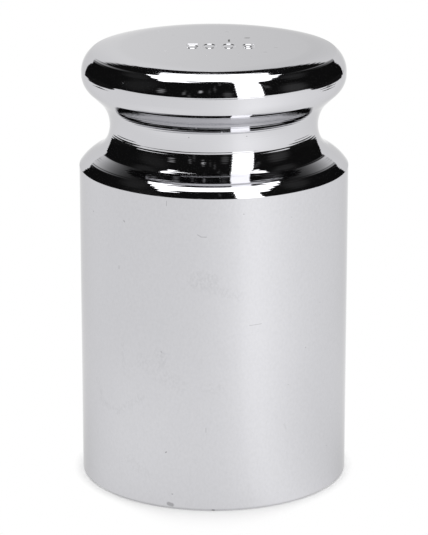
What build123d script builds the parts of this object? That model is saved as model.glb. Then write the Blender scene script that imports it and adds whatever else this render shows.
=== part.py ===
from build123d import *
import os
from math import cos, radians, sin, sqrt

# Knob-type cylindrical weight, turned from one bar of steel and plated.
# Millimetres and degrees. The Z axis is the turning axis and the foot stands on Z = 0.
# A tilt is the angle of the surface's outward normal above the horizontal:
# 0 is an upright wall, 90 a level top, and a negative tilt faces downwards.

# Driving dimensions: the cylindrical body
body_diameter = 37.6
body_height = 44.83          # foot to the corner where the wall ends
foot_chamfer = 0.3           # bevel of the outer corner of the foot
edge_round = 0.3             # rounding of the corners at the wall's top and at the crown

# Driving dimensions: the relief turned into the foot
recess_diameter = 30.0
recess_depth = 0.4
recess_chamfer = 0.15        # bevel of the relief's rim

# Driving dimensions: the shoulder between the wall and the neck
shoulder_radius = 5.87       # rounded upper edge of the body
shoulder_start_tilt = 34.5   # tilt of that rounding where it leaves the wall
shoulder_tilt = 59.4         # tilt of the straight cone above it

# Driving dimensions: the neck that the lifting fork grips
neck_depth = 4.28            # from the body's wall in to the waist
neck_lower_radius = 3.68     # hollow curve on the shoulder's side
neck_upper_radius = 5.32     # hollow curve at the waist and below the head
neck_blend_tilt = 17.4       # tilt at which the lower curve turns into the upper one

# Driving dimensions: the head
underside_tilt = -46.4       # tilt of the straight cone under the head
head_setback = 0.4           # how far the rim stays inside the body's wall
rim_lower_radius = 2.94
rim_band = 0.39              # upright stretch between the rim's two curves
rim_upper_radius = 3.42
rim_end_tilt = 54.1          # tilt at which the rim meets the crown
crown_radius = 17.0          # the slight rounding between the rim and the level top
crown_rise = 0.55            # height of the level top above the crown's corner

# Derived radii
wall_radius = body_diameter / 2
neck_radius = wall_radius - neck_depth
head_radius = wall_radius - head_setback
recess_radius = recess_diameter / 2


def normal(tilt):
    """Unit vector of a surface's outward normal, as (radial, height)."""
    return Vector(cos(radians(tilt)), sin(radians(tilt)))


def height_on_cone(offset, radius, tilt):
    """Height of the point at the radius given, on the cone that lies `offset` along its normal."""
    return (offset - radius * normal(tilt).X) / normal(tilt).Y


def convex(centre, radius, start_tilt, end_tilt):
    """Outward-bulging arc of the outline between two tilts."""
    return CenterArc(centre, radius, start_tilt, end_tilt - start_tilt)


def hollow(centre, radius, start_tilt, end_tilt):
    """Inward-curving arc of the outline between two tilts."""
    return CenterArc(centre, radius, start_tilt + 180, end_tilt - start_tilt)


def shoulder_centre():
    """Centre of the shoulder's rounding, which starts at the corner of the wall."""
    return Vector(wall_radius, body_height) - normal(shoulder_start_tilt) * shoulder_radius


def neck_upper_centre():
    """Centre of the waist's curve, at the height where the lower curve touches the shoulder cone."""
    centre_radius = neck_radius + neck_upper_radius
    cone = normal(shoulder_tilt)
    blend_offset = normal(neck_blend_tilt).dot(cone) * (neck_upper_radius - neck_lower_radius)
    offset = shoulder_centre().dot(cone) + shoulder_radius + neck_lower_radius + blend_offset
    return Vector(centre_radius, height_on_cone(offset, centre_radius, shoulder_tilt))


def neck_lower_centre():
    """Centre of the lower curve, which runs smoothly into the waist's curve."""
    return neck_upper_centre() - normal(neck_blend_tilt) * (neck_upper_radius - neck_lower_radius)


def rim_height():
    """Height of the foot of the rim's upright band, above the curve that touches the underside."""
    centre_radius = head_radius - rim_lower_radius
    offset = neck_upper_centre().dot(normal(underside_tilt)) - neck_upper_radius - rim_lower_radius
    return height_on_cone(offset, centre_radius, underside_tilt)


def rim_upper_centre():
    """Centre of the rim's upper curve, level with the top of the upright band."""
    return Vector(head_radius - rim_upper_radius, rim_height() + rim_band)


def crown_corner():
    """Point where the rim meets the crown."""
    return rim_upper_centre() + normal(rim_end_tilt) * rim_upper_radius


def crown_flat_edge():
    """Point where the crown's rounding runs out level."""
    corner = crown_corner()
    rounding_width = sqrt(crown_radius**2 - (crown_radius - crown_rise) ** 2)
    return corner + Vector(-rounding_width, crown_rise)


def nearest_vertex(section, corner):
    """The vertex of the section at the corner given."""
    return section.vertices().sort_by_distance(corner)[0]


def outline():
    """Half section of the weight, right of the turning axis, as one closed face."""
    wall_corner = Vector(wall_radius, body_height)
    foot_corner = Vector(wall_radius, 0)
    recess_corner = Vector(recess_radius, 0)
    flat_edge = crown_flat_edge()
    top_centre = Vector(0, flat_edge.Y)
    recess_centre = Vector(0, recess_depth)

    with BuildSketch() as section:
        with BuildLine():
            shoulder = convex(shoulder_centre(), shoulder_radius, shoulder_start_tilt, shoulder_tilt)
            neck_lower = hollow(neck_lower_centre(), neck_lower_radius, shoulder_tilt, neck_blend_tilt)
            Line(shoulder @ 1, neck_lower @ 0)
            neck_upper = hollow(neck_upper_centre(), neck_upper_radius, neck_blend_tilt, underside_tilt)
            rim_lower_centre = Vector(head_radius - rim_lower_radius, rim_height())
            rim_lower = convex(rim_lower_centre, rim_lower_radius, underside_tilt, 0)
            Line(neck_upper @ 1, rim_lower @ 0)
            rim_upper = convex(rim_upper_centre(), rim_upper_radius, 0, rim_end_tilt)
            Line(rim_lower @ 1, rim_upper @ 0)
            TangentArc(flat_edge, crown_corner(), tangent=(1, 0))
            Polyline(
                flat_edge,
                top_centre,
                recess_centre,
                Vector(recess_radius, recess_depth),
                recess_corner,
                foot_corner,
                wall_corner,
            )
        make_face()
        for corner in (wall_corner, crown_corner()):
            fillet(nearest_vertex(section, corner), radius=edge_round)
        chamfer(nearest_vertex(section, foot_corner), length=foot_chamfer)
        chamfer(nearest_vertex(section, recess_corner), length=recess_chamfer)
    return section.sketch


def weight():
    """The whole weight: its half section turned once round the Z axis."""
    return revolve(Plane.XZ * outline(), axis=Axis.Z, revolution_arc=360)


os.makedirs("parts", exist_ok=True)
export_step(weight(), "parts/weight.step")
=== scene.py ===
"""Knob-type chrome-plated weight: the visible surface, its finish and a plain studio.

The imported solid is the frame. The surface drawn here stands for its one node: the same turned
outline with exact normals, figures punched into the crown, and the marks of turning and use.
"""
from math import atan2, ceil, cos, degrees, pi, radians, sin, sqrt

import bpy
import numpy as np
from bpy.props import FloatProperty, FloatVectorProperty, PointerProperty, StringProperty
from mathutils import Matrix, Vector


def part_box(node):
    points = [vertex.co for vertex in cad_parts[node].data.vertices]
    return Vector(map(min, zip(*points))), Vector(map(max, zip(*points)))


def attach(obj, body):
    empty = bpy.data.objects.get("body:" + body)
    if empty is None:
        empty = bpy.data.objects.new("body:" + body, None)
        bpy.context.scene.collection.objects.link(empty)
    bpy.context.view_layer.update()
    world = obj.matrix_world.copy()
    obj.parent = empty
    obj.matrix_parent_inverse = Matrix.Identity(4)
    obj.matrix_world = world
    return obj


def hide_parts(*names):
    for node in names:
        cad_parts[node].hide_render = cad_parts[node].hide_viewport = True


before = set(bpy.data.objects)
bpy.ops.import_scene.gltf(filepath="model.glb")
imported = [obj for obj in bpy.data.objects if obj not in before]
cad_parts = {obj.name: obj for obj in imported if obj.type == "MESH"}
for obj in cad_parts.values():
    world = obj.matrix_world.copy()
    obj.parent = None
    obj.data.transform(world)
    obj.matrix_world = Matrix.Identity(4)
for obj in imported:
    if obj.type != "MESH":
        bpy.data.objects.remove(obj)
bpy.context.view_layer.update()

bl_info = {
    "name": "Turned balance weight",
    "version": (1, 0, 0),
    "blender": (4, 5, 0),
    "location": "View3D > Sidebar > Weight",
    "description": "Builds a chrome-plated knob weight and the studio that it is shown in",
    "category": "Object",
}

NODE = "weight"
SLOT = "chrome_plate"
MM = 0.001
_, node_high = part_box(NODE)


# ---- Settings ----


def length(name, description, default_mm):
    """A length property in metres whose default is written in millimetres."""
    return FloatProperty(name=name, description=description, default=default_mm * MM, min=0.0,
                         precision=6, subtype="DISTANCE", unit="LENGTH")


def angle(name, description, default_degrees):
    """An angle property in radians whose default is written in degrees."""
    return FloatProperty(name=name, description=description, default=radians(default_degrees),
                         precision=4, subtype="ANGLE", unit="ROTATION")


def number(name, description, default, low=0.0):
    """A plain number."""
    return FloatProperty(name=name, description=description, default=default, min=low, precision=4)


class WeightShape(bpy.types.PropertyGroup):
    """Sizes of the turned outline. Tilts are those of the outward normal above the horizontal."""

    body_radius: length("Body radius", "Radius of the upright wall", node_high.x / MM)
    body_height: length("Body height", "Foot to the corner where the wall ends", 44.83)
    foot_chamfer: length("Foot chamfer", "Bevel of the outer corner of the foot", 0.3)
    edge_round: length("Edge round", "Rounding at the wall's top and at the crown", 0.3)
    recess_radius: length("Recess radius", "Radius of the relief in the foot", 15.0)
    recess_depth: length("Recess depth", "Depth of the relief in the foot", 0.4)
    recess_chamfer: length("Recess chamfer", "Bevel of the relief's rim", 0.15)
    shoulder_radius: length("Shoulder radius", "Rounded upper edge of the body", 5.87)
    shoulder_start: angle("Shoulder start", "Tilt where the shoulder leaves the wall", 34.5)
    shoulder_tilt: angle("Shoulder tilt", "Tilt of the cone between shoulder and neck", 59.4)
    neck_depth: length("Neck depth", "From the body's wall in to the waist", 4.28)
    neck_lower_radius: length("Neck lower radius", "Hollow curve beside the shoulder", 3.68)
    neck_upper_radius: length("Neck upper radius", "Hollow curve at the waist", 5.32)
    neck_blend: angle("Neck blend", "Tilt at which the two hollow curves meet", 17.4)
    underside_tilt: angle("Underside tilt", "Tilt of the cone under the head", -46.4)
    head_setback: length("Head setback", "How far the rim stays inside the wall", 0.4)
    rim_lower_radius: length("Rim lower radius", "Rim curve below the upright band", 2.94)
    rim_band: length("Rim band", "Height of the upright band round the rim", 0.39)
    rim_upper_radius: length("Rim upper radius", "Rim curve above the upright band", 3.42)
    rim_end: angle("Rim end", "Tilt at which the rim meets the crown", 54.1)
    crown_radius: length("Crown radius", "Slight rounding between rim and level top", 17.0)
    crown_rise: length("Crown rise", "Level top above the crown's corner", 0.55)


class PunchedFigures(bpy.types.PropertyGroup):
    """The nominal mass in grams, punched one figure at a time into the crown."""

    text: StringProperty(name="Figures", description="Figures to punch", default="500g")
    height: length("Height", "Height of a figure", 2.7)
    width: length("Width", "Width of a figure", 1.55)
    pitch: length("Pitch", "From the middle of one figure to the next", 2.56)
    offset: length("Offset", "From the turning axis to the middle of the row", 0.85)
    depth: length("Depth", "Depth of the punched groove", 0.062)
    groove: length("Groove", "Half width of the punched groove", 0.13)
    grid: length("Grid", "Spacing of the mesh that carries the figures", 0.06)
    margin: length("Margin", "Plain border round the figures", 0.5)


class ChromeFinish(bpy.types.PropertyGroup):
    """Colour and surface marks of the polished plate."""

    tint: FloatVectorProperty(name="Tint", description="Colour of light mirrored by the plate",
                              subtype="COLOR", size=3, min=0.0, max=1.0, default=(0.614, 0.613, 0.636))
    roughness: number("Roughness", "Blur of the mirror finish", 0.045)
    groove_pitch: length("Groove pitch", "Advance of the turning tool per turn", 0.33)
    groove_slope: number("Groove slope", "Steepest slope of the turning lines", 0.026)
    streak_slope: number("Streak slope", "Slope of the uneven polishing lines", 0.012)


class StudioSettings(bpy.types.PropertyGroup):
    """Camera, floor and light panels."""

    camera_distance: length("Camera distance", "Camera to the point that it looks at", 429.73)
    camera_pitch: angle("Camera pitch", "How far the camera looks down", 17.017)
    target_height: length("Target height", "Height of the point looked at, on the axis", 29.494)
    focal_length: number("Focal length", "In millimetres on a sensor 36 mm along the long side", 204.6)
    frame_shift: number("Frame shift", "Sideways shift of the picture, in long sides", 0.0002)
    floor_half_width: length("Floor half width", "Half the width of the white sheet at the back", 200)
    floor_front: length("Floor front", "How far the sheet runs to the front and the front's sides", 1600)
    floor_back: length("Floor back", "How far the sheet runs behind the weight", 700)
    floor_glow: number("Floor glow", "Share of plain white in the sheet as the camera sees it", 0.12)
    floor_mirrored: number("Mirrored floor", "Share of plain light in the sheet as it is mirrored", 0.8)
    floor_level: number("Floor level", "Brightness of the mirrored sheet away from the opening", 0.872)
    floor_pool: number("Floor pool", "Extra light of the opening on the mirrored sheet", 0.375)
    panel_light: number("Panel light", "Brightness of the soft light panels, 1 being white", 2.6)
    fill_light: number("Fill light", "Brightness of the surroundings on matt surfaces", 0.97)
    dark_level: number("Dark level", "Brightness of the unlit half of the room", 0.01)
    dark_reach: angle("Dark reach", "The unlit half runs to this azimuth on either side", 145)


# ---- The turned surface ----


def direction(tilt):
    """Unit vector (radial, height) of a normal whose tilt above the horizontal is given."""
    return np.stack([np.cos(tilt), np.sin(tilt)], axis=-1)


# The angle in degrees that one step of a curve covers, and the fewest steps of a curve.
ARC_STEP, FEWEST_STEPS = 2, 4


def arc(centre, radius, start, end, hollow=False):
    """Points and normals of a circular stretch between two tilts, one step for every 2 degrees.

    A bulging stretch lies at centre + radius * normal, a hollow one at centre - radius * normal.
    """
    steps = max(FEWEST_STEPS, ceil(abs(degrees(end - start)) / ARC_STEP))
    normals = direction(np.linspace(start, end, steps + 1))
    side = -1 if hollow else 1
    return np.asarray(centre) + side * radius * normals, normals


def straight(start, end, tilt, steps=1):
    """Points and normals of a straight stretch: start + t * (end - start), one normal throughout."""
    t = np.linspace(0, 1, steps + 1)[:, None]
    points = (1 - t) * np.asarray(start) + t * np.asarray(end)
    return points, np.repeat(direction(tilt)[None], steps + 1, axis=0)


def height_on_cone(offset, radius, tilt):
    """Height at the given radius on the cone whose distance along its own normal is `offset`."""
    return (offset - radius * cos(tilt)) / sin(tilt)


def outer_meeting(centre_a, radius_a, centre_b, radius_b):
    """The one of two circles' meeting points that lies on the left of the line from a to b."""
    along = centre_b - centre_a
    gap = np.hypot(*along)
    reach = (gap**2 + radius_a**2 - radius_b**2) / (2 * gap)
    offset = sqrt(radius_a**2 - reach**2)
    unit = along / gap
    return centre_a + reach * unit + offset * np.array([-unit[1], unit[0]])


def tilt_of(vector):
    """Tilt of a (radial, height) vector."""
    return atan2(vector[1], vector[0])


def outline(shape):
    """Stretches of the half section from the crown's level edge down to the relief in the foot.

    Each curve touches its neighbours: the heights of the waist and the rim follow from the two
    straight cones, which are common tangents of the curves above and below them.
    """
    wall = shape.body_radius
    head = wall - shape.head_setback
    start = direction(shape.shoulder_start)
    shoulder = np.array([wall, shape.body_height]) - shape.shoulder_radius * start

    cone = direction(shape.shoulder_tilt)
    step = shape.neck_upper_radius - shape.neck_lower_radius
    blend = direction(shape.neck_blend)
    waist_radius = wall - shape.neck_depth + shape.neck_upper_radius
    offset = shoulder @ cone + shape.shoulder_radius + shape.neck_lower_radius + step * (blend @ cone)
    waist = np.array([waist_radius, height_on_cone(offset, waist_radius, shape.shoulder_tilt)])
    neck_low = waist - step * blend

    under = direction(shape.underside_tilt)
    offset = waist @ under - shape.neck_upper_radius - shape.rim_lower_radius
    rim_low_radius = head - shape.rim_lower_radius
    rim_height = height_on_cone(offset, rim_low_radius, shape.underside_tilt)
    rim_low = np.array([rim_low_radius, rim_height])
    rim_up = np.array([head - shape.rim_upper_radius, rim_height + shape.rim_band])

    corner = rim_up + shape.rim_upper_radius * direction(shape.rim_end)
    sag = shape.crown_radius - shape.crown_rise
    level_edge = corner + np.array([-sqrt(shape.crown_radius**2 - sag**2), shape.crown_rise])
    crown = level_edge - np.array([0, shape.crown_radius])

    edge = shape.edge_round
    crown_edge = outer_meeting(rim_up, shape.rim_upper_radius - edge, crown, shape.crown_radius - edge)
    crown_end = tilt_of(crown_edge - crown)
    rim_end = tilt_of(crown_edge - rim_up)
    edge_radius = wall - edge
    edge_rise = sqrt((shape.shoulder_radius - edge) ** 2 - (edge_radius - shoulder[0]) ** 2)
    wall_edge = np.array([edge_radius, shoulder[1] + edge_rise])
    shoulder_end = tilt_of(wall_edge - shoulder)

    neck_under = waist - shape.neck_upper_radius * under
    rim_under = rim_low + shape.rim_lower_radius * under
    neck_cone = neck_low - shape.neck_lower_radius * cone
    shoulder_cone = shoulder + shape.shoulder_radius * cone
    relief = shape.recess_radius
    fan_radius = relief / 8
    rim = relief + shape.recess_chamfer
    bevel = shape.foot_chamfer
    down = -pi / 2
    return [
        arc(crown, shape.crown_radius, pi / 2, crown_end),
        arc(crown_edge, edge, crown_end, rim_end),
        arc(rim_up, shape.rim_upper_radius, rim_end, 0),
        straight((head, rim_up[1]), (head, rim_height), 0),
        arc(rim_low, shape.rim_lower_radius, 0, shape.underside_tilt),
        straight(rim_under, neck_under, shape.underside_tilt),
        arc(waist, shape.neck_upper_radius, shape.underside_tilt, shape.neck_blend, hollow=True),
        arc(neck_low, shape.neck_lower_radius, shape.neck_blend, shape.shoulder_tilt, hollow=True),
        straight(neck_cone, shoulder_cone, shape.shoulder_tilt),
        arc(shoulder, shape.shoulder_radius, shape.shoulder_tilt, shoulder_end),
        arc(wall_edge, edge, shoulder_end, 0),
        straight((wall, wall_edge[1]), (wall, bevel), 0, steps=12),
        straight((wall, bevel), (wall - bevel, 0), -pi / 4),
        straight((wall - bevel, 0), (rim, 0), down),
        straight((rim, 0), (relief, shape.recess_chamfer), -3 * pi / 4),
        straight((relief, shape.recess_chamfer), (relief, shape.recess_depth), pi),
        straight((relief, shape.recess_depth), (fan_radius, shape.recess_depth), down, steps=3),
    ]


def joined(stretches):
    """One row of points, with the normals at the start and end of each step between them."""
    points = np.concatenate([stretches[0][0][:1]] + [p[1:] for p, _ in stretches])
    starts = np.concatenate([n[:-1] for _, n in stretches])
    ends = np.concatenate([n[1:] for _, n in stretches])
    return points, starts, ends


def revolved(values, turns):
    """Turns (radial, height) pairs round Z: x = radial * cos, y = radial * sin, z = height."""
    radial, height = values[:, None, 0], values[:, None, 1]
    x, y = radial * np.cos(turns)[None], radial * np.sin(turns)[None]
    return np.stack([x, y, height * np.ones_like(turns)[None]], axis=-1)


def segment_distance(x, y, start, end):
    """Distance from (x, y) to a straight stroke: to the nearest point start + t * (end - start)."""
    sx, sy = start
    dx, dy = end[0] - sx, end[1] - sy
    t = np.clip(((x - sx) * dx + (y - sy) * dy) / (dx * dx + dy * dy), 0, 1)
    return np.hypot(x - sx - t * dx, y - sy - t * dy)


def bow_distance(x, y, centre, half_width, half_height, start=-180, sweep=360):
    """Distance to part of an oval, taken at the oval's point that has the same angle.

    Angles are in degrees from +X. A point whose angle is off the bow is measured to its nearer end.
    """
    u, v = (x - centre[0]) / half_width, (y - centre[1]) / half_height
    beyond = np.mod(np.degrees(np.arctan2(v, u)) - start, 360)
    past_end = np.where(beyond - sweep < 360 - beyond, sweep, 0)
    at = np.radians(start + np.where(beyond <= sweep, beyond, past_end))
    near_x = centre[0] + half_width * np.cos(at)
    near_y = centre[1] + half_height * np.sin(at)
    return np.hypot(x - near_x, y - near_y)


def figure_distance(figure, x, y, width, height):
    """Distance from points to the strokes of one figure, centred on the origin."""
    w, h = width / 2, height / 2
    if figure == "0":
        return bow_distance(x, y, (0, 0), w, h)
    if figure == "5":
        top = segment_distance(x, y, (-0.8 * w, h), (0.9 * w, h))
        stem = segment_distance(x, y, (-0.8 * w, h), (-0.8 * w, 0.1 * h))
        bowl = bow_distance(x, y, (-0.05 * w, -0.35 * h), w, 0.65 * h, -150, 290)
        return np.minimum(np.minimum(top, stem), bowl)
    if figure == "g":
        bowl = bow_distance(x, y, (-0.05 * w, 0.3 * h), 0.85 * w, 0.55 * h)
        stem = segment_distance(x, y, (0.85 * w, 0.8 * h), (0.85 * w, -0.55 * h))
        hook = bow_distance(x, y, (0, -0.55 * h), 0.85 * w, 0.45 * h, -150, 150)
        return np.minimum(np.minimum(bowl, stem), hook)
    raise ValueError(f"no strokes are known for the figure {figure}")


# Sideways errors of the figures' places in millimetres: each one was struck by hand.
NUDGES = (0.03, -0.18, -0.1, 0.08)
# The raised lips beside a groove: height in groove depths, place in half widths, and spread.
LIP_HEIGHT, LIP_PLACE, LIP_SPREAD = 0.12, 2.0, 0.5


def punched_depth(figures, x, y):
    """Height of the crown over its level: a rounded groove along each stroke, with raised lips.

    With a = distance / half width it is depth * (lip * exp(-(a - place)^2 / spread) - exp(-a^2)).
    """
    count = len(figures.text)
    distance = np.full_like(x, figures.height)
    for place, figure in enumerate(figures.text):
        nudge = NUDGES[place % len(NUDGES)] * MM
        middle = figures.offset + (place - (count - 1) / 2) * figures.pitch + nudge
        stroke = figure_distance(figure, x - middle, y, figures.width, figures.height)
        distance = np.minimum(distance, stroke)
    across = distance / figures.groove
    groove = np.exp(-(across**2))
    lips = LIP_HEIGHT * np.exp(-((across - LIP_PLACE) ** 2) / LIP_SPREAD)
    return figures.depth * (lips - groove)


def crown_patch(figures, level):
    """Rectangle of the crown that carries the figures, as a height field on an even grid.

    Its normals are those of the height field: (-slope along x, -slope along y, 1), made unit length.
    """
    half_x = (len(figures.text) * figures.pitch) / 2 + figures.margin
    half_y = figures.height / 2 + figures.margin
    columns, rows = ceil(2 * half_x / figures.grid), ceil(2 * half_y / figures.grid)
    xs = figures.offset + np.linspace(-half_x, half_x, columns + 1)
    ys = np.linspace(-half_y, half_y, rows + 1)
    x, y = np.meshgrid(xs, ys, indexing="ij")
    rise = punched_depth(figures, x, y)
    rise[[0, -1], :] = 0
    rise[:, [0, -1]] = 0
    slope_x, slope_y = np.gradient(rise, xs, ys)
    normals = np.stack([-slope_x, -slope_y, np.ones_like(x)], axis=-1)
    normals /= np.linalg.norm(normals, axis=-1, keepdims=True)
    return np.stack([x, y, level + rise], axis=-1), normals


def grid_quads(rows, columns, wrap=False):
    """Corner numbers of the faces between neighbouring rows and columns of a grid of points.

    The corners go down a row, along a column and back up, so they turn the way the normals need.
    With `wrap` the last column is joined to the first.
    """
    row = np.arange(rows - 1)[:, None]
    column = np.arange(columns if wrap else columns - 1)[None]
    following = (column + 1) % columns
    top, bottom = row * columns, (row + 1) * columns
    corners = [top + column, bottom + column, bottom + following, top + following]
    return np.stack(corners, axis=-1).reshape(-1, 4)


def border(rows, columns):
    """Numbers of the points on the edge of a grid."""
    numbers = np.arange(rows * columns).reshape(rows, columns)
    return np.unique(np.concatenate([numbers[0], numbers[-1], numbers[:, 0], numbers[:, -1]]))


def ring_between(points, inner, outer):
    """Triangles that close the level band between two closed loops round the axis.

    Both loops are sorted by their angle. Each step along one loop makes a triangle with the last
    point that the other loop has reached at that angle.
    """
    inner = inner[np.argsort(np.arctan2(points[inner, 1], points[inner, 0]))]
    outer = outer[np.argsort(np.arctan2(points[outer, 1], points[outer, 0]))]
    inner_angle = np.arctan2(points[inner, 1], points[inner, 0])
    outer_angle = np.arctan2(points[outer, 1], points[outer, 0])
    next_inner, next_outer = np.roll(inner, -1), np.roll(outer, -1)
    last_outer = (np.searchsorted(outer_angle, np.roll(inner_angle, -1), side="right") - 1) % len(outer)
    last_inner = (np.searchsorted(inner_angle, np.roll(outer_angle, -1), side="left") - 1) % len(inner)
    inward = np.stack([inner, outer[last_outer], next_inner], axis=-1)
    outward = np.stack([outer, next_outer, inner[last_inner]], axis=-1)
    return np.concatenate([inward, outward])


def turned_surface(shape, figures, columns=360):
    """The closed skin of the weight: points, faces, one normal and one UV pair for each corner.

    The wall of revolution takes each outline point round Z. The crown's level is closed by the
    punched rectangle and a flat ring round it, and the relief in the foot by a fan of triangles.
    In the UV map U is the share of a turn and V the share of the way down the outline.
    """
    points, starts, ends = joined(outline(shape))
    turns = np.linspace(0, 2 * pi, columns, endpoint=False)
    wall = revolved(points, turns).reshape(-1, 3)
    wall_quads = grid_quads(len(points), columns, wrap=True)
    row_start, row_end = revolved(starts, turns), revolved(ends, turns)
    next_start, next_end = np.roll(row_start, -1, axis=1), np.roll(row_end, -1, axis=1)
    wall_normals = np.stack([row_start, row_end, next_end, next_start], axis=2)

    travel = np.concatenate([[0], np.cumsum(np.hypot(*np.diff(points, axis=0).T))])
    way = travel / travel[-1]
    share = np.arange(columns) / columns
    corner_u = np.stack([share, share, share + 1 / columns, share + 1 / columns], axis=-1)
    corner_v = np.stack([way[:-1], way[1:], way[1:], way[:-1]], axis=-1)
    wall_uv = np.stack(np.broadcast_arrays(corner_u[None], corner_v[:, None]), axis=-1)

    patch, patch_normals = crown_patch(figures, points[0, 1])
    patch_rows, patch_columns = patch.shape[:2]
    first_patch = len(wall)
    patch_quads = grid_quads(patch_rows, patch_columns)
    patch_corner_normals = patch_normals.reshape(-1, 3)[patch_quads]
    patch_quads = patch_quads + first_patch

    foot_centre = np.array([[0, 0, points[-1, 1]]])
    everything = np.concatenate([wall, patch.reshape(-1, 3), foot_centre])
    ring = ring_between(everything, border(patch_rows, patch_columns) + first_patch, np.arange(columns))
    last_row = np.arange(columns) + (len(points) - 1) * columns
    fan = np.stack([last_row, np.full(columns, len(everything) - 1), np.roll(last_row, -1)], axis=-1)

    up, down = np.array([0, 0, 1.0]), np.array([0, 0, -1.0])
    normals = np.concatenate([
        wall_normals.reshape(-1, 3),
        patch_corner_normals.reshape(-1, 3),
        np.tile(up, (3 * len(ring), 1)),
        np.tile(down, (3 * len(fan), 1)),
    ])
    flat_corners = patch_quads.size + ring.size + fan.size
    uv = np.concatenate([wall_uv.reshape(-1, 2), np.zeros((flat_corners, 2))])
    faces = [wall_quads, patch_quads, ring, fan]
    return everything, faces, normals, uv, travel[-1]


def mesh_object(name, points, faces, material, normals=None, uv=None):
    """A mesh object at the origin from arrays of points and faces, and optionally corner data."""
    mesh = bpy.data.meshes.new(name)
    mesh.from_pydata(points, [], [row for block in faces for row in block.tolist()])
    mesh.shade_smooth()
    if uv is not None:
        layer = mesh.uv_layers.new(name="turning")
        layer.data.foreach_set("uv", uv.ravel())
    mesh.materials.append(material)
    mesh.update()
    if normals is not None:
        mesh.normals_split_custom_set(normals)
    piece = bpy.data.objects.new(name, mesh)
    bpy.context.scene.collection.objects.link(piece)
    return piece


# ---- Shader arithmetic ----


class Value:
    """A number socket that Python operators extend with Math nodes."""

    def __init__(self, graph, socket):
        self.graph = graph
        self.socket = socket

    def math(self, operation, *others):
        settings = {"operation": operation}
        return self.graph.node("ShaderNodeMath", settings, dict(enumerate((self, *others))))

    def __add__(self, other):
        return self.math("ADD", other)

    def __sub__(self, other):
        return self.math("SUBTRACT", other)

    def __rsub__(self, other):
        return self.graph.node("ShaderNodeMath", {"operation": "SUBTRACT"}, {0: other, 1: self})

    def __mul__(self, other):
        return self.math("MULTIPLY", other)

    def __truediv__(self, other):
        return self.math("DIVIDE", other)


WHITE = (1, 1, 1, 1)


class Graph:
    """Adds nodes to one node tree."""

    def __init__(self, tree):
        self.tree = tree
        tree.nodes.clear()

    def node(self, kind, settings=None, inputs=None, output=0):
        """A node with its settings made first and its inputs next, as the Value of one output."""
        made = self.tree.nodes.new(kind)
        for key, value in (settings or {}).items():
            setattr(made, key, value)
        for key, value in (inputs or {}).items():
            if isinstance(value, Value):
                self.tree.links.new(value.socket, made.inputs[key])
            else:
                made.inputs[key].default_value = value
        return Value(self, made.outputs[output]) if made.outputs else made

    def axes(self, vector):
        """The x, y and z of a vector socket."""
        split = self.node("ShaderNodeSeparateXYZ", inputs={0: vector}).socket.node
        return [Value(self, socket) for socket in split.outputs]

    def vector(self, x, y, z):
        return self.node("ShaderNodeCombineXYZ", inputs={0: x, 1: y, 2: z})

    def step(self, value, low, high):
        """0 below `low`, 1 above `high`, and a smooth change between."""
        settings = {"interpolation_type": "SMOOTHSTEP"}
        return self.node("ShaderNodeMapRange", settings, {0: value, 1: low, 2: high, 3: 0.0, 4: 1.0})

    def step_degrees(self, angle, low, high):
        """The same step for an angle in radians, between two angles in degrees."""
        return self.step(angle, radians(low), radians(high))

    def noise(self, vector, scale, detail=2.0):
        return self.node("ShaderNodeTexNoise", inputs={"Vector": vector, "Scale": scale, "Detail": detail})

    def blend(self, factor, first, second):
        """A colour between two colours, at sockets 6 and 7, taken from output 2."""
        return self.node("ShaderNodeMix", {"data_type": "RGBA"}, {0: factor, 6: first, 7: second}, 2)

    def place(self):
        """Place of the shaded point in the object's own frame."""
        return self.node("ShaderNodeTexCoord", output="Object")

    def ray(self, kind):
        """1 for rays of one kind, such as Camera or Glossy, and 0 for all others."""
        return self.node("ShaderNodeLightPath", output=f"Is {kind} Ray")

    def glow(self, strength):
        """White light of the given brightness."""
        return self.node("ShaderNodeEmission", inputs={"Color": WHITE, "Strength": strength})

    def surface(self, shader):
        """Ends a material with its output node."""
        self.node("ShaderNodeOutputMaterial", inputs={0: shader})


def new_material(name):
    material = bpy.data.materials.new(name)
    material.use_nodes = True
    return material, Graph(material.node_tree)


# Dark marks in millimetres, all of them marks of use but the last: start, end, half width and how dark
# they are.
# On the wall a place is (distance round the wall from its front, height above the foot).
WALL_MARKS = (
    ((-6.5, 44.2), (-6.5, 43.6), 0.05, 0.3),
    ((-2.2, 39.8), (-1.7, 39.5), 0.07, 0.25),
    ((-1.7, 39.5), (-1.0, 39.5), 0.07, 0.25),
    ((4.9, 26.8), (6.6, 26.9), 0.06, 0.2),
    ((-13.3, 40.5), (-13.2, 40.4), 0.12, 0.3),
    ((-20.3, 40.3), (-20.2, 40.3), 0.1, 0.25),
    ((-14.3, 33.9), (-14.3, 33.5), 0.09, 0.2),
    ((13.8, 22.3), (13.9, 22.2), 0.08, 0.2),
    ((-7.4, 22.8), (-7.3, 22.7), 0.09, 0.25),
    ((-1.1, 12.2), (-1.1, 11.6), 0.07, 0.15),
    ((-6.8, 8.2), (-6.7, 8.3), 0.1, 0.4),
    ((-5.9, 2.2), (-5.8, 2.2), 0.09, 0.3),
    ((4.0, 42.6), (4.1, 42.6), 0.08, 0.2),
    ((11.1, 41.4), (11.2, 41.4), 0.08, 0.15),
    ((10.8, 17.5), (10.9, 17.5), 0.08, 0.15),
    ((16.7, 28.1), (16.8, 28.1), 0.08, 0.15),
    ((18.7, 6.5), (18.8, 6.5), 0.08, 0.15),
    ((10.2, 11.8), (10.5, 11.1), 0.15, 0.06),
    ((-6.4, 0.7), (-5.9, 0.6), 0.3, 0.4),
    # A short dark stroke on the foot's edge in front.
    ((-0.2, 0.1), (0.0, 0.1), 0.15, 0.8),
)
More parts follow.
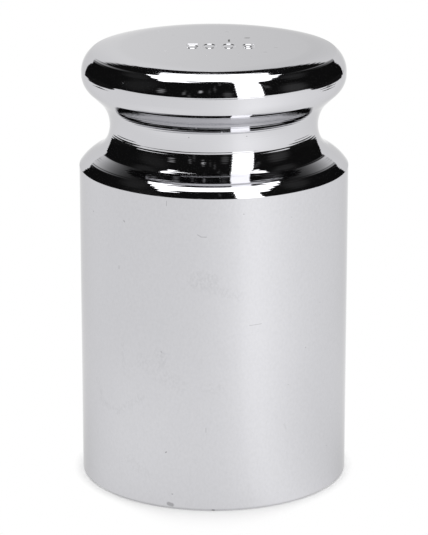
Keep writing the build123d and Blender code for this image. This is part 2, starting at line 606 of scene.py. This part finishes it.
# Faint smudges of handling on the wall, in the same terms. A fine grain breaks them up.
WALL_SMUDGES = (
    ((-2.2, 33.3), (-0.6, 33.4), 1.4, 0.045),
    ((-0.3, 32.1), (3.3, 31.1), 0.7, 0.03),
    ((-7.6, 22.7), (-7.1, 20.8), 0.8, 0.04),
    ((-10.2, 20.9), (-5.0, 18.3), 1.3, 0.022),
    ((-19.5, 16.0), (-18.2, 13.1), 0.5, 0.03),
    ((-18.2, 13.1), (-14.8, 12.6), 0.5, 0.035),
    ((-14.8, 12.6), (-10.3, 15.9), 0.5, 0.03),
    ((-13.9, 23.3), (-13.4, 18.4), 0.4, 0.022),
    ((-1.1, 18.0), (0.8, 17.9), 0.7, 0.022),
    ((-12.5, 6.0), (-9.9, 4.8), 0.8, 0.02),
)
# On the crown a place is (x, y) from the turning axis.
CROWN_MARKS = (
    ((2.1, 2.9), (2.1, 4.1), 0.15, 1.0),
    ((4.45, 5.2), (4.85, 5.2), 0.24, 0.8),
    ((8.4, -0.8), (8.7, -0.8), 0.14, 0.3),
    ((6.9, -3.6), (7.2, -3.6), 0.14, 0.3),
    ((-5.8, 7.0), (-5.5, 7.0), 0.12, 0.15),
    ((1.7, 9.2), (2.0, 9.2), 0.14, 0.2),
)


# Distances in half widths between which a stroke fades out.
STROKE_FADE = (0.5, 1.3)


def stroke_mask(graph, x, y, start, end, half_width):
    """1 on a stroke with round ends and 0 off it.

    The nearest point of the stroke is start + t * (end - start), t being held between 0 and 1.
    """
    dx, dy = end[0] - start[0], end[1] - start[1]
    across, along = x - start[0], y - start[1]
    t = (across * dx + along * dy) / (dx * dx + dy * dy)
    t = t.math("MAXIMUM", 0.0).math("MINIMUM", 1.0)
    across, along = across - t * dx, along - t * dy
    distance = (across * across + along * along).math("SQRT")
    return 1 - graph.step(distance, *(part * half_width for part in STROKE_FADE))


def marks_mask(graph, x, y, marks):
    """Darkness of the marks at a place, both in millimetres."""
    darkest = None
    for start, end, half_width, dark in marks:
        mask = stroke_mask(graph, x, y, start, end, half_width) * dark
        darkest = darkest.math("MAXIMUM", mask) if darkest else mask
    return darkest


# Numbers of the plate. A pair holds the two values between which a mask rises from 0 to 1.
TOOL_SETS_IN = (0.02, 0.06)  # shares of the way down the outline
NECK_WORK = 2.1  # height of the tool's line in the neck, 1 being plain
STREAKS_ROUND = 60  # per metre
STREAK_WIDTH = 0.6  # in pitches of the tool's line
CROWN_BEGINS = (0.97, 0.99)  # shares of the weight's height
GRAIN_ROUND, GRAIN_UP = 3.2, 1.8  # per millimetre round and up the wall
GRAIN_BREAKS = (0.3, 0.7)  # grain that breaks up a smudge
GRAIN_GAIN, GRAIN_LOSS = 1.6, 0.55  # how the grain dulls the wall
SMUDGE_GAIN = 1.4
DUST_PER_METRE = 900.0
DUST_CHANCE = (0.95, 0.96)
DUST_SIZE = (0.06, 0.14)  # in cells
DUST_BEHIND = (-2, 4)  # millimetres behind the axis: the front of the wall is clean
DUST_ROUGHNESS = 0.5
CLOUDS_PER_METRE = 260.0
CLOUD_EDGE = (0.5, 0.75)
HAZE_DULL, HAZE_ROUGHNESS = 0.12, 0.01
DULL = 0.94  # share of the plain colour
# Painted shade along the foot's edge, where the plate mirrors the shadow on the sheet right beside it: the
# heights over which it fades out, and how far it darkens.
FOOT_EDGE = (0.1, 0.5)  # millimetres above the ground
FOOT_SHADE = 0.15
# The dark colour of the marks and smudges, which the painted shade at the foot darkens towards too.
MARK_AND_SHADE_COLOUR = (0.03, 0.03, 0.03, 1.0)
MARK_ROUGHNESS = 0.3
GRAZING_TINT = (0.76, 0.76, 0.76, 1.0)


def chrome_plate(finish, shape, outline_length):
    """Mirror plate with the helical line of the tool, polishing streaks, grain, dust and marks, and a
    painted shade along the foot's edge.

    The tool's line is slope * pitch / (2 pi) * sin(2 pi * (travel / pitch + share of a turn)). It
    sets in at the crown's edge, ends at the wall's top and is 2.1 times as high in the neck.
    """
    material, graph = new_material(SLOT)
    place = graph.place()
    x, y, z = graph.axes(place)
    turn, way, _ = graph.axes(graph.node("ShaderNodeUVMap", {"uv_map": "turning"}))
    travel = way * outline_length

    def over_wall(low, high):
        """A mask that rises between two heights over the wall's top, in millimetres."""
        return graph.step(z, shape.body_height + low * MM, shape.body_height + high * MM)

    phase = (travel / finish.groove_pitch + turn) * (2 * pi)
    line_height = finish.groove_slope * finish.groove_pitch / (2 * pi)
    line = phase.math("SINE") * line_height
    across = travel * (1 / (STREAK_WIDTH * finish.groove_pitch))
    streaks = graph.noise(graph.vector(x * STREAKS_ROUND, y * STREAKS_ROUND, across), 1.0, 2.0)
    streak_height = finish.streak_slope * finish.groove_pitch
    off_neck = 1 - over_wall(2.5, 4) + over_wall(6.5, 8.5)
    worked = graph.step(way, *TOOL_SETS_IN) * over_wall(0, 0.5) * (NECK_WORK - off_neck * (NECK_WORK - 1))
    height = (line + streaks * streak_height) * worked
    bump = graph.node("ShaderNodeBump", inputs={"Strength": 1.0, "Distance": 1.0, "Height": height})

    round_wall = x.math("ARCTAN2", y * -1) * (shape.body_radius / MM)
    on_wall = 1 - over_wall(0, 1)
    on_crown = graph.step(z, *(share * node_high.z for share in CROWN_BEGINS))
    wall_marks = marks_mask(graph, round_wall, z / MM, WALL_MARKS) * on_wall
    crown_marks = marks_mask(graph, x / MM, y / MM, CROWN_MARKS) * on_crown
    mark = wall_marks.math("MAXIMUM", crown_marks)
    grain_place = graph.vector(round_wall * GRAIN_ROUND, z / MM * GRAIN_UP, travel / MM)
    grain = graph.noise(grain_place, 1.0, 2.0)
    smudge = marks_mask(graph, round_wall, z / MM, WALL_SMUDGES) * on_wall
    smudge = smudge * graph.step(grain, *GRAIN_BREAKS) * SMUDGE_GAIN

    cell = graph.node("ShaderNodeTexVoronoi", inputs={"Vector": place, "Scale": DUST_PER_METRE})
    chance = graph.axes(Value(graph, cell.socket.node.outputs["Color"]))[0]
    behind = graph.step(y, *(distance * MM for distance in DUST_BEHIND))
    dusty = behind.math("MAXIMUM", over_wall(0, 2))
    speck = (1 - graph.step(cell, *DUST_SIZE)) * graph.step(chance, *DUST_CHANCE) * dusty
    haze = graph.step(graph.noise(place, CLOUDS_PER_METRE, 3.0), *CLOUD_EDGE)

    tint = (*finish.tint, 1.0)
    dull = (*[DULL * part for part in finish.tint], 1.0)
    dulled = haze * HAZE_DULL + (grain * GRAIN_GAIN - GRAIN_LOSS) * on_wall
    # Painted shade: the colour darkens towards the foot's edge and stands in for the mirrored shadow
    # there.
    foot_shade = (1 - graph.step(z, *(rise * MM for rise in FOOT_EDGE))) * FOOT_SHADE
    dark = mark.math("MAXIMUM", smudge).math("MAXIMUM", foot_shade)
    colour = graph.blend(dark, graph.blend(dulled, tint, dull), MARK_AND_SHADE_COLOUR)
    roughness = speck * DUST_ROUGHNESS + finish.roughness + haze * HAZE_ROUGHNESS + mark * MARK_ROUGHNESS
    shader = graph.node("ShaderNodeBsdfPrincipled", inputs={
        "Base Color": colour, "Metallic": 1.0, "Roughness": roughness, "Normal": bump,
        "Specular Tint": GRAZING_TINT})
    graph.surface(shader)
    return material


# ---- The studio ----


def panel_material(name, strength):
    """An evenly lit panel whose brightness is its strength."""
    material, graph = new_material(name)
    graph.surface(graph.glow(strength))
    return material


# Light on the mirrored sheet, in degrees from the camera's side and in shares of white.
SHEET_NEAR = (0.035, 0.1)  # metres from the axis
SHEET_REAR = (80, 150)
POOL_MIDDLE = 33
POOL_LEFT, POOL_RIGHT = 24, 36
POOL_CHANGES = (27, 45)
PATCH_BEGINS, PATCH_ENDS = (20, 22), (34, 50)
PATCH_LIGHT = 0.018
LEAN_LIGHT, LEAN_RATE = -0.09, 1.6
NEAR_LIGHT, REAR_LIGHT, NEAR_REAR_LIGHT = 0.015, 0.11, 0.08


def mirrored_sheet(graph, turn, radius, studio):
    """Brightness of the sheet as the weight's wall mirrors it, less that of plain white.

    It is level - 1 + pool / (1 + d^2), where d is the angle from the opening, in units of 24
    degrees on the left and 36 on the right. The opening's own patch and the rear are brighter,
    and so is the left close to the weight, by 0.09 * sin(1.6 * angle).
    """
    near = 1 - graph.step(radius, *SHEET_NEAR)
    rear = graph.step_degrees(turn.math("ABSOLUTE"), *SHEET_REAR)
    widening = graph.step_degrees(turn, *POOL_CHANGES)
    off = (turn - radians(POOL_MIDDLE)) / (widening * radians(POOL_RIGHT - POOL_LEFT) + radians(POOL_LEFT))
    pool = (off * off + 1).math("POWER", -1.0) * studio.floor_pool
    patch = graph.step_degrees(turn, *PATCH_BEGINS) * (1 - graph.step_degrees(turn, *PATCH_ENDS))
    leaning = (turn * LEAN_RATE).math("SINE") * near * LEAN_LIGHT
    ahead = (pool + leaning) * (1 - rear) + patch * PATCH_LIGHT
    behind = rear * (near * NEAR_REAR_LIGHT + REAR_LIGHT)
    return ahead + behind + near * NEAR_LIGHT + (studio.floor_level - 1)


SHEET_COLOUR = (0.95, 0.95, 0.95, 1)
# The shaded part's reach round the foot and more in front in millimetres, over an angle in degrees.
SHADE_ROUND, SHADE_FRONT, SHADE_ANGLE = 1.5, 7.5, 26


def floor_material(studio):
    """White sheet: matt, so that it takes a shadow, with a share of plain white as it is seen.

    Away from the weight's foot the camera sees plain white. The matt part with its shadow reaches
    1.5 mm from the foot, and 7.5 mm * exp(-(turn / 26 degrees)^2) further towards the camera.
    """
    material, graph = new_material("white_sheet")
    x, y, _ = graph.axes(graph.place())
    turn = x.math("ARCTAN2", y * -1)
    radius = (x * x + y * y).math("SQRT")
    mirrored = graph.ray("Glossy")
    brightness = mirrored_sheet(graph, turn, radius, studio) * mirrored + 1
    ahead = turn / radians(SHADE_ANGLE)
    reach = (ahead * ahead * -1).math("EXPONENT") * (SHADE_FRONT * MM) + SHADE_ROUND * MM
    away = graph.step(radius, node_high.x, reach + node_high.x)
    seen = away * (1 - studio.floor_glow) + studio.floor_glow
    share = graph.ray("Camera") * seen + mirrored * studio.floor_mirrored
    matt = graph.node("ShaderNodeBsdfDiffuse", inputs={"Color": SHEET_COLOUR})
    plain = graph.glow(brightness)
    graph.surface(graph.node("ShaderNodeMixShader", inputs={0: share, 1: matt, 2: plain}))
    return material


def stage_object(name, points, faces, material, camera=False, diffuse=False):
    """A piece of the studio, seen in reflections and, if asked, by the camera or matt surfaces."""
    piece = mesh_object(name, points, faces, material)
    piece.visible_camera = camera
    piece.visible_diffuse = diffuse
    piece.visible_shadow = camera
    return piece


def stage_grid(name, points, material):
    """A piece of the studio from a grid of points."""
    quads = grid_quads(points.shape[0], points.shape[1])
    return stage_object(name, points.reshape(-1, 3), [quads], material)


def mirrored_strip(right_side, height):
    """A level strip that is mirrored in the YZ plane: its corners (x, y) on the right, and faces."""
    right_side = np.asarray(right_side)
    corners = np.concatenate([right_side, right_side[::-1] * [-1, 1]])
    points = np.column_stack([corners, np.full(len(corners), height)])
    count = len(right_side)
    left = 2 * count - 1 - np.arange(count)
    quads = np.array([[k, k + 1, left[k + 1], left[k]] for k in range(count - 1)])
    return points, [quads]


# Height in metres of the middle of the dome, which is that of the neck.
NECK_HEIGHT = 0.05


def shell(azimuth, elevation, radius):
    """Points of a dome round the weight at the given azimuths from the camera and elevations.

    x = R cos(e) sin(a), y = -R cos(e) cos(a), z = R sin(e) above the neck's height.
    """
    level = radius * np.cos(elevation)
    x, y = level * np.sin(azimuth), -level * np.cos(azimuth)
    z = NECK_HEIGHT + radius * np.sin(elevation)
    return np.stack(np.broadcast_arrays(x, y, z), axis=-1)


# Radii of the room and of the opening in it, in metres.
ROOM_RADIUS, WINDOW_RADIUS = 1.6, 1.5
# The opening's lowest and highest elevation, and how far its edges lean over, in degrees.
WINDOW_SPAN, WINDOW_LEAN = (-2, 73), 15
# Of each edge: its azimuth low down, the elevation at which it has leant over, and the power.
WINDOW_LEFT, WINDOW_RIGHT = (20, 72, 4), (43, 58, 3)


def window_edge(elevation, foot, reach, power):
    """Azimuth of an edge of the bright opening, upright low down and leaning right higher up.

    It is foot + lean * (elevation / reach)^power.
    """
    return foot + WINDOW_LEAN * (np.clip(elevation, 0, None) / reach) ** power


def build_window(material, rows=40, columns=33):
    """The bright opening: part of a dome between its two edges."""
    elevation = np.linspace(*WINDOW_SPAN, rows)[:, None]
    left, right = window_edge(elevation, *WINDOW_LEFT), window_edge(elevation, *WINDOW_RIGHT)
    across = np.linspace(0, 1, columns)[None]
    azimuth = (1 - across) * left + across * right
    points = shell(np.radians(azimuth), np.radians(elevation), WINDOW_RADIUS)
    return stage_grid("side_window", points, material)


# Distances in metres between which the dark ground lies, and its height just under the sheet.
GROUND_SPAN = (0.02, 1.7)
GROUND_HEIGHT = -0.001


def build_dark_ground(reach, material, columns=65):
    """Sector of dark ground under the sheet, up to the azimuth `reach` on either side."""
    azimuth = np.radians(np.linspace(-reach, reach, columns))[None]
    distance = np.array(GROUND_SPAN)[:, None]
    x, y = distance * np.sin(azimuth), -distance * np.cos(azimuth)
    points = np.stack(np.broadcast_arrays(x, y, np.full_like(x, GROUND_HEIGHT)), axis=-1)
    return stage_grid("room_dark_ground", points, material)


def spot(azimuth, elevation, centre, size):
    """Soft spot: falls off as exp(-(distance / size)^4) from its centre, along both angles."""
    across = (azimuth - centre[0]) / size[0]
    along = (elevation - centre[1]) / size[1]
    return np.exp(-((across**2 + along**2) ** 2))


# Centre (azimuth, elevation) and half size in degrees, and brightness, 1 being white.
ROOM_SPOTS = (
    ((-47, 20), (4, 5), 0.3),
    ((-12, 28), (1.6, 6), 0.5),
    ((-26, 20), (1.4, 8), 0.12),
    ((-21, 8), (1.2, 9), 0.05),
    ((-4, 30), (1, 10), 0.04),
    ((1, 41), (1, 12), 0.07),
    ((8, 64), (1.5, 6), 0.06),
    ((12, 15), (4, 12), 0.06),
    ((52, 37), (3, 9), 0.05),
    ((74, 14), (13, 17), 0.035),
    ((-72, 28), (17, 24), 0.012),
    ((104, 48), (16, 9), 0.02),
    ((-104, 50), (18, 9), 0.015),
)
# Plain brightness of the room, and the veil of light at its far sides, in degrees: its inner edge
# at an elevation, and how that leans, its outer edge, the softness of both, its middle and spread.
ROOM_LIGHT = 0.006
VEIL_EDGE, VEIL_LEVEL, VEIL_LEAN = 144.5, 22, 0.85
VEIL_END = 162
VEIL_EDGE_SOFT, VEIL_END_SOFT = 5, 8
VEIL_MIDDLE, VEIL_SPREAD = 12, 19


def room_glow(azimuth, elevation):
    """Brightness of the unlit room at an azimuth from the camera and an elevation, in degrees.

    It is dark, with a dim wall on the right, a few small things that catch the light, and a veil
    of light from the lit backdrop at the far sides: exp(-((elevation - middle) / spread)^2).
    """
    side = np.abs(azimuth)
    edge = VEIL_EDGE + np.sign(azimuth) - VEIL_LEAN * (elevation - VEIL_LEVEL)
    begun = np.clip((side - edge) / VEIL_EDGE_SOFT, 0, 1)
    left_over = np.clip((VEIL_END - side) / VEIL_END_SOFT, 0, 1)
    veil = begun * left_over * np.exp(-(((elevation - VEIL_MIDDLE) / VEIL_SPREAD) ** 2))
    glow = ROOM_LIGHT + veil
    for centre, size, brightness in ROOM_SPOTS:
        glow = glow + brightness * spot(azimuth, elevation, centre, size)
    return glow


# The room's lowest elevation, and the lit backdrop below it at the back: half width, elevation of
# its top in the middle, and how that falls off per degree. All are in degrees.
ROOM_FOOT = -4.0
BACKDROP_HALF_WIDTH, BACKDROP_TOP, BACKDROP_FALL = 35, 28, 0.36


def room_floor_edge(azimuth):
    """Lowest elevation of the dark room: under the sheet's edge, but over the lit backdrop."""
    behind = 180 - np.abs(azimuth)
    over_backdrop = BACKDROP_TOP - BACKDROP_FALL * behind
    return np.where(behind < BACKDROP_HALF_WIDTH, over_backdrop, ROOM_FOOT)


# Half the width of the step in the room's lower edge, in degrees.
STEP_HALF_WIDTH = 0.05


def build_room(reach, rows=96):
    """The dark room as a dome: its lower edge is level up to the azimuth `reach` on either side."""
    edge = np.array([reach - STEP_HALF_WIDTH, reach + STEP_HALF_WIDTH])
    columns = np.sort(np.concatenate([np.linspace(-180, 180, 361), edge, -edge]))
    low = np.where(np.abs(columns) < reach, ROOM_FOOT, room_floor_edge(columns))
    rise = np.linspace(0, 1, rows)[:, None]
    azimuth = np.broadcast_to(columns[None], (rows, len(columns)))
    elevation = (1 - rise) * low[None] + rise * 90
    material, graph = new_material("unlit_room")
    graph.surface(graph.glow(graph.node("ShaderNodeAttribute", {"attribute_name": "glow"}, output="Fac")))
    room = stage_grid("room", shell(np.radians(azimuth), np.radians(elevation), ROOM_RADIUS), material)
    layer = room.data.attributes.new("glow", "FLOAT", "POINT")
    layer.data.foreach_set("value", room_glow(azimuth, elevation).ravel())


# Height in metres of the overhead panel and of the place that it is laid out from. Its corners on
# the right are the slopes (sideways, away from the camera) at which they are seen from there.
PANEL_HEIGHT, PANEL_SEEN_FROM = 0.95, 0.055
PANEL_CORNERS = ((0.62, -0.27), (0.56, 0.2), (0.34, 0.78), (0.19, 1.2), (0.15, 1.75))


def build_overhead_panel(material):
    """The soft panel overhead: wide at the camera's side, drawn in to a narrow end at the back."""
    right_side = np.array(PANEL_CORNERS) * (PANEL_HEIGHT - PANEL_SEEN_FROM)
    points, quads = mirrored_strip(right_side, PANEL_HEIGHT)
    return stage_object("overhead_panel", points, quads, material, diffuse=True)


# Where the sheet's full width ends, and the corners of its narrowing on the right, in metres.
SHEET_FULL_TO = -0.15
SHEET_CORNERS = ((0.3, 0.04), (0.235, 0.1), (0.22, 0.19))


def build_floor(studio):
    """The white sheet: wide in front of the weight, and drawn in to a strip behind it."""
    front, back, narrow = studio.floor_front, studio.floor_back, studio.floor_half_width
    right_side = [(front, -front), (front, SHEET_FULL_TO), *SHEET_CORNERS, (narrow, back)]
    points, quads = mirrored_strip(right_side, 0)
    return stage_object("floor", points, quads, floor_material(studio), camera=True, diffuse=True)


def build_surroundings(studio):
    """The dark room, the dark ground beside the sheet, the bright opening and the overhead panel."""
    dark = panel_material("dark_ground", studio.dark_level)
    bright = panel_material("soft_panel", studio.panel_light)
    reach = degrees(studio.dark_reach)
    build_room(reach)
    build_dark_ground(reach, dark)
    build_window(bright)
    build_overhead_panel(bright)


# Slope of the backdrop's brightness per degree, and the angle in degrees over which it falls off.
BACKDROP_SLOPE, BACKDROP_SPREAD = -0.033, 6


def backdrop_slope(graph):
    """Brightness that the mirrored backdrop gains on the left and loses on the right of its middle.

    It is -0.033 * a * exp(-(a / 6)^2), where a is the angle from straight behind in degrees.
    """
    x, y, _ = graph.axes(graph.node("ShaderNodeTexCoord", output="Generated"))
    off = x.math("ARCTAN2", y) * degrees(1)
    fall = (off * off * (-1 / BACKDROP_SPREAD**2)).math("EXPONENT")
    return off * fall * graph.ray("Glossy") * BACKDROP_SLOPE


def build_world(studio):
    """White surroundings: plain white as they are seen or mirrored, and softer on matt surfaces."""
    world = bpy.data.worlds.new("studio")
    world.use_nodes = True
    bpy.context.scene.world = world
    graph = Graph(world.node_tree)
    seen = graph.ray("Camera").math("MAXIMUM", graph.ray("Glossy"))
    seen = seen.math("MAXIMUM", graph.ray("Transmission"))
    strength = seen * (1.0 - studio.fill_light) + studio.fill_light + backdrop_slope(graph)
    light = graph.node("ShaderNodeBackground", inputs={"Color": WHITE, "Strength": strength})
    graph.node("ShaderNodeOutputWorld", inputs={0: light})


SENSOR_WIDTH = 36.0  # millimetres


def build_camera(studio):
    """Camera in front of the weight, looking slightly down at a point on its axis."""
    data = bpy.data.cameras.new("camera")
    data.sensor_fit = "AUTO"
    data.sensor_width = SENSOR_WIDTH
    data.lens = studio.focal_length
    data.shift_x = studio.frame_shift
    camera = bpy.data.objects.new("camera", data)
    back = studio.camera_distance * cos(studio.camera_pitch)
    rise = studio.camera_distance * sin(studio.camera_pitch)
    camera.location = (0, -back, studio.target_height + rise)
    camera.rotation_euler = (pi / 2 - studio.camera_pitch, 0, 0)
    bpy.context.scene.collection.objects.link(camera)
    bpy.context.scene.camera = camera


# ---- Operators, panel and registration ----


class OBJECT_OT_turned_weight(bpy.types.Operator):
    """Build the weight's turned and plated surface with its punched figures"""

    bl_idname = "object.turned_weight"
    bl_label = "Turned Weight"

    def execute(self, context):
        scene = context.scene
        points, faces, normals, uv, way = turned_surface(scene.weight_shape, scene.weight_figures)
        material = chrome_plate(scene.weight_finish, scene.weight_shape, way)
        piece = mesh_object("weight_surface", points, faces, material, normals, uv)
        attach(piece, "root")
        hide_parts(NODE)
        return {"FINISHED"}


class OBJECT_OT_weight_studio(bpy.types.Operator):
    """Build the white sheet, the light panels, the dark side of the room and the camera"""

    bl_idname = "object.weight_studio"
    bl_label = "Studio"

    def execute(self, context):
        studio = context.scene.weight_studio
        build_floor(studio)
        build_surroundings(studio)
        build_world(studio)
        build_camera(studio)
        context.scene.view_settings.view_transform = "Standard"
        return {"FINISHED"}


class VIEW3D_PT_turned_weight(bpy.types.Panel):
    """Lists the operators and the settings that they read"""

    bl_label = "Turned Weight"
    bl_space_type = "VIEW_3D"
    bl_region_type = "UI"
    bl_category = "Weight"

    def draw(self, context):
        layout = self.layout
        layout.operator(OBJECT_OT_turned_weight.bl_idname)
        layout.operator(OBJECT_OT_weight_studio.bl_idname)
        for name in SETTINGS:
            group = getattr(context.scene, name)
            box = layout.box()
            box.label(text=name.replace("_", " ").capitalize())
            for key in group.bl_rna.properties.keys():
                if key not in ("rna_type", "name"):
                    box.prop(group, key)


SETTINGS = {
    "weight_shape": WeightShape,
    "weight_figures": PunchedFigures,
    "weight_finish": ChromeFinish,
    "weight_studio": StudioSettings,
}
CLASSES = (*SETTINGS.values(), OBJECT_OT_turned_weight, OBJECT_OT_weight_studio, VIEW3D_PT_turned_weight)


def register():
    for cls in CLASSES:
        bpy.utils.register_class(cls)
    for name, group in SETTINGS.items():
        setattr(bpy.types.Scene, name, PointerProperty(type=group))


def unregister():
    for name in SETTINGS:
        delattr(bpy.types.Scene, name)
    for cls in reversed(CLASSES):
        bpy.utils.unregister_class(cls)


def main():
    """Builds everything in order."""
    register()
    bpy.ops.object.turned_weight()
    bpy.ops.object.weight_studio()


if __name__ == "__main__":
    main()
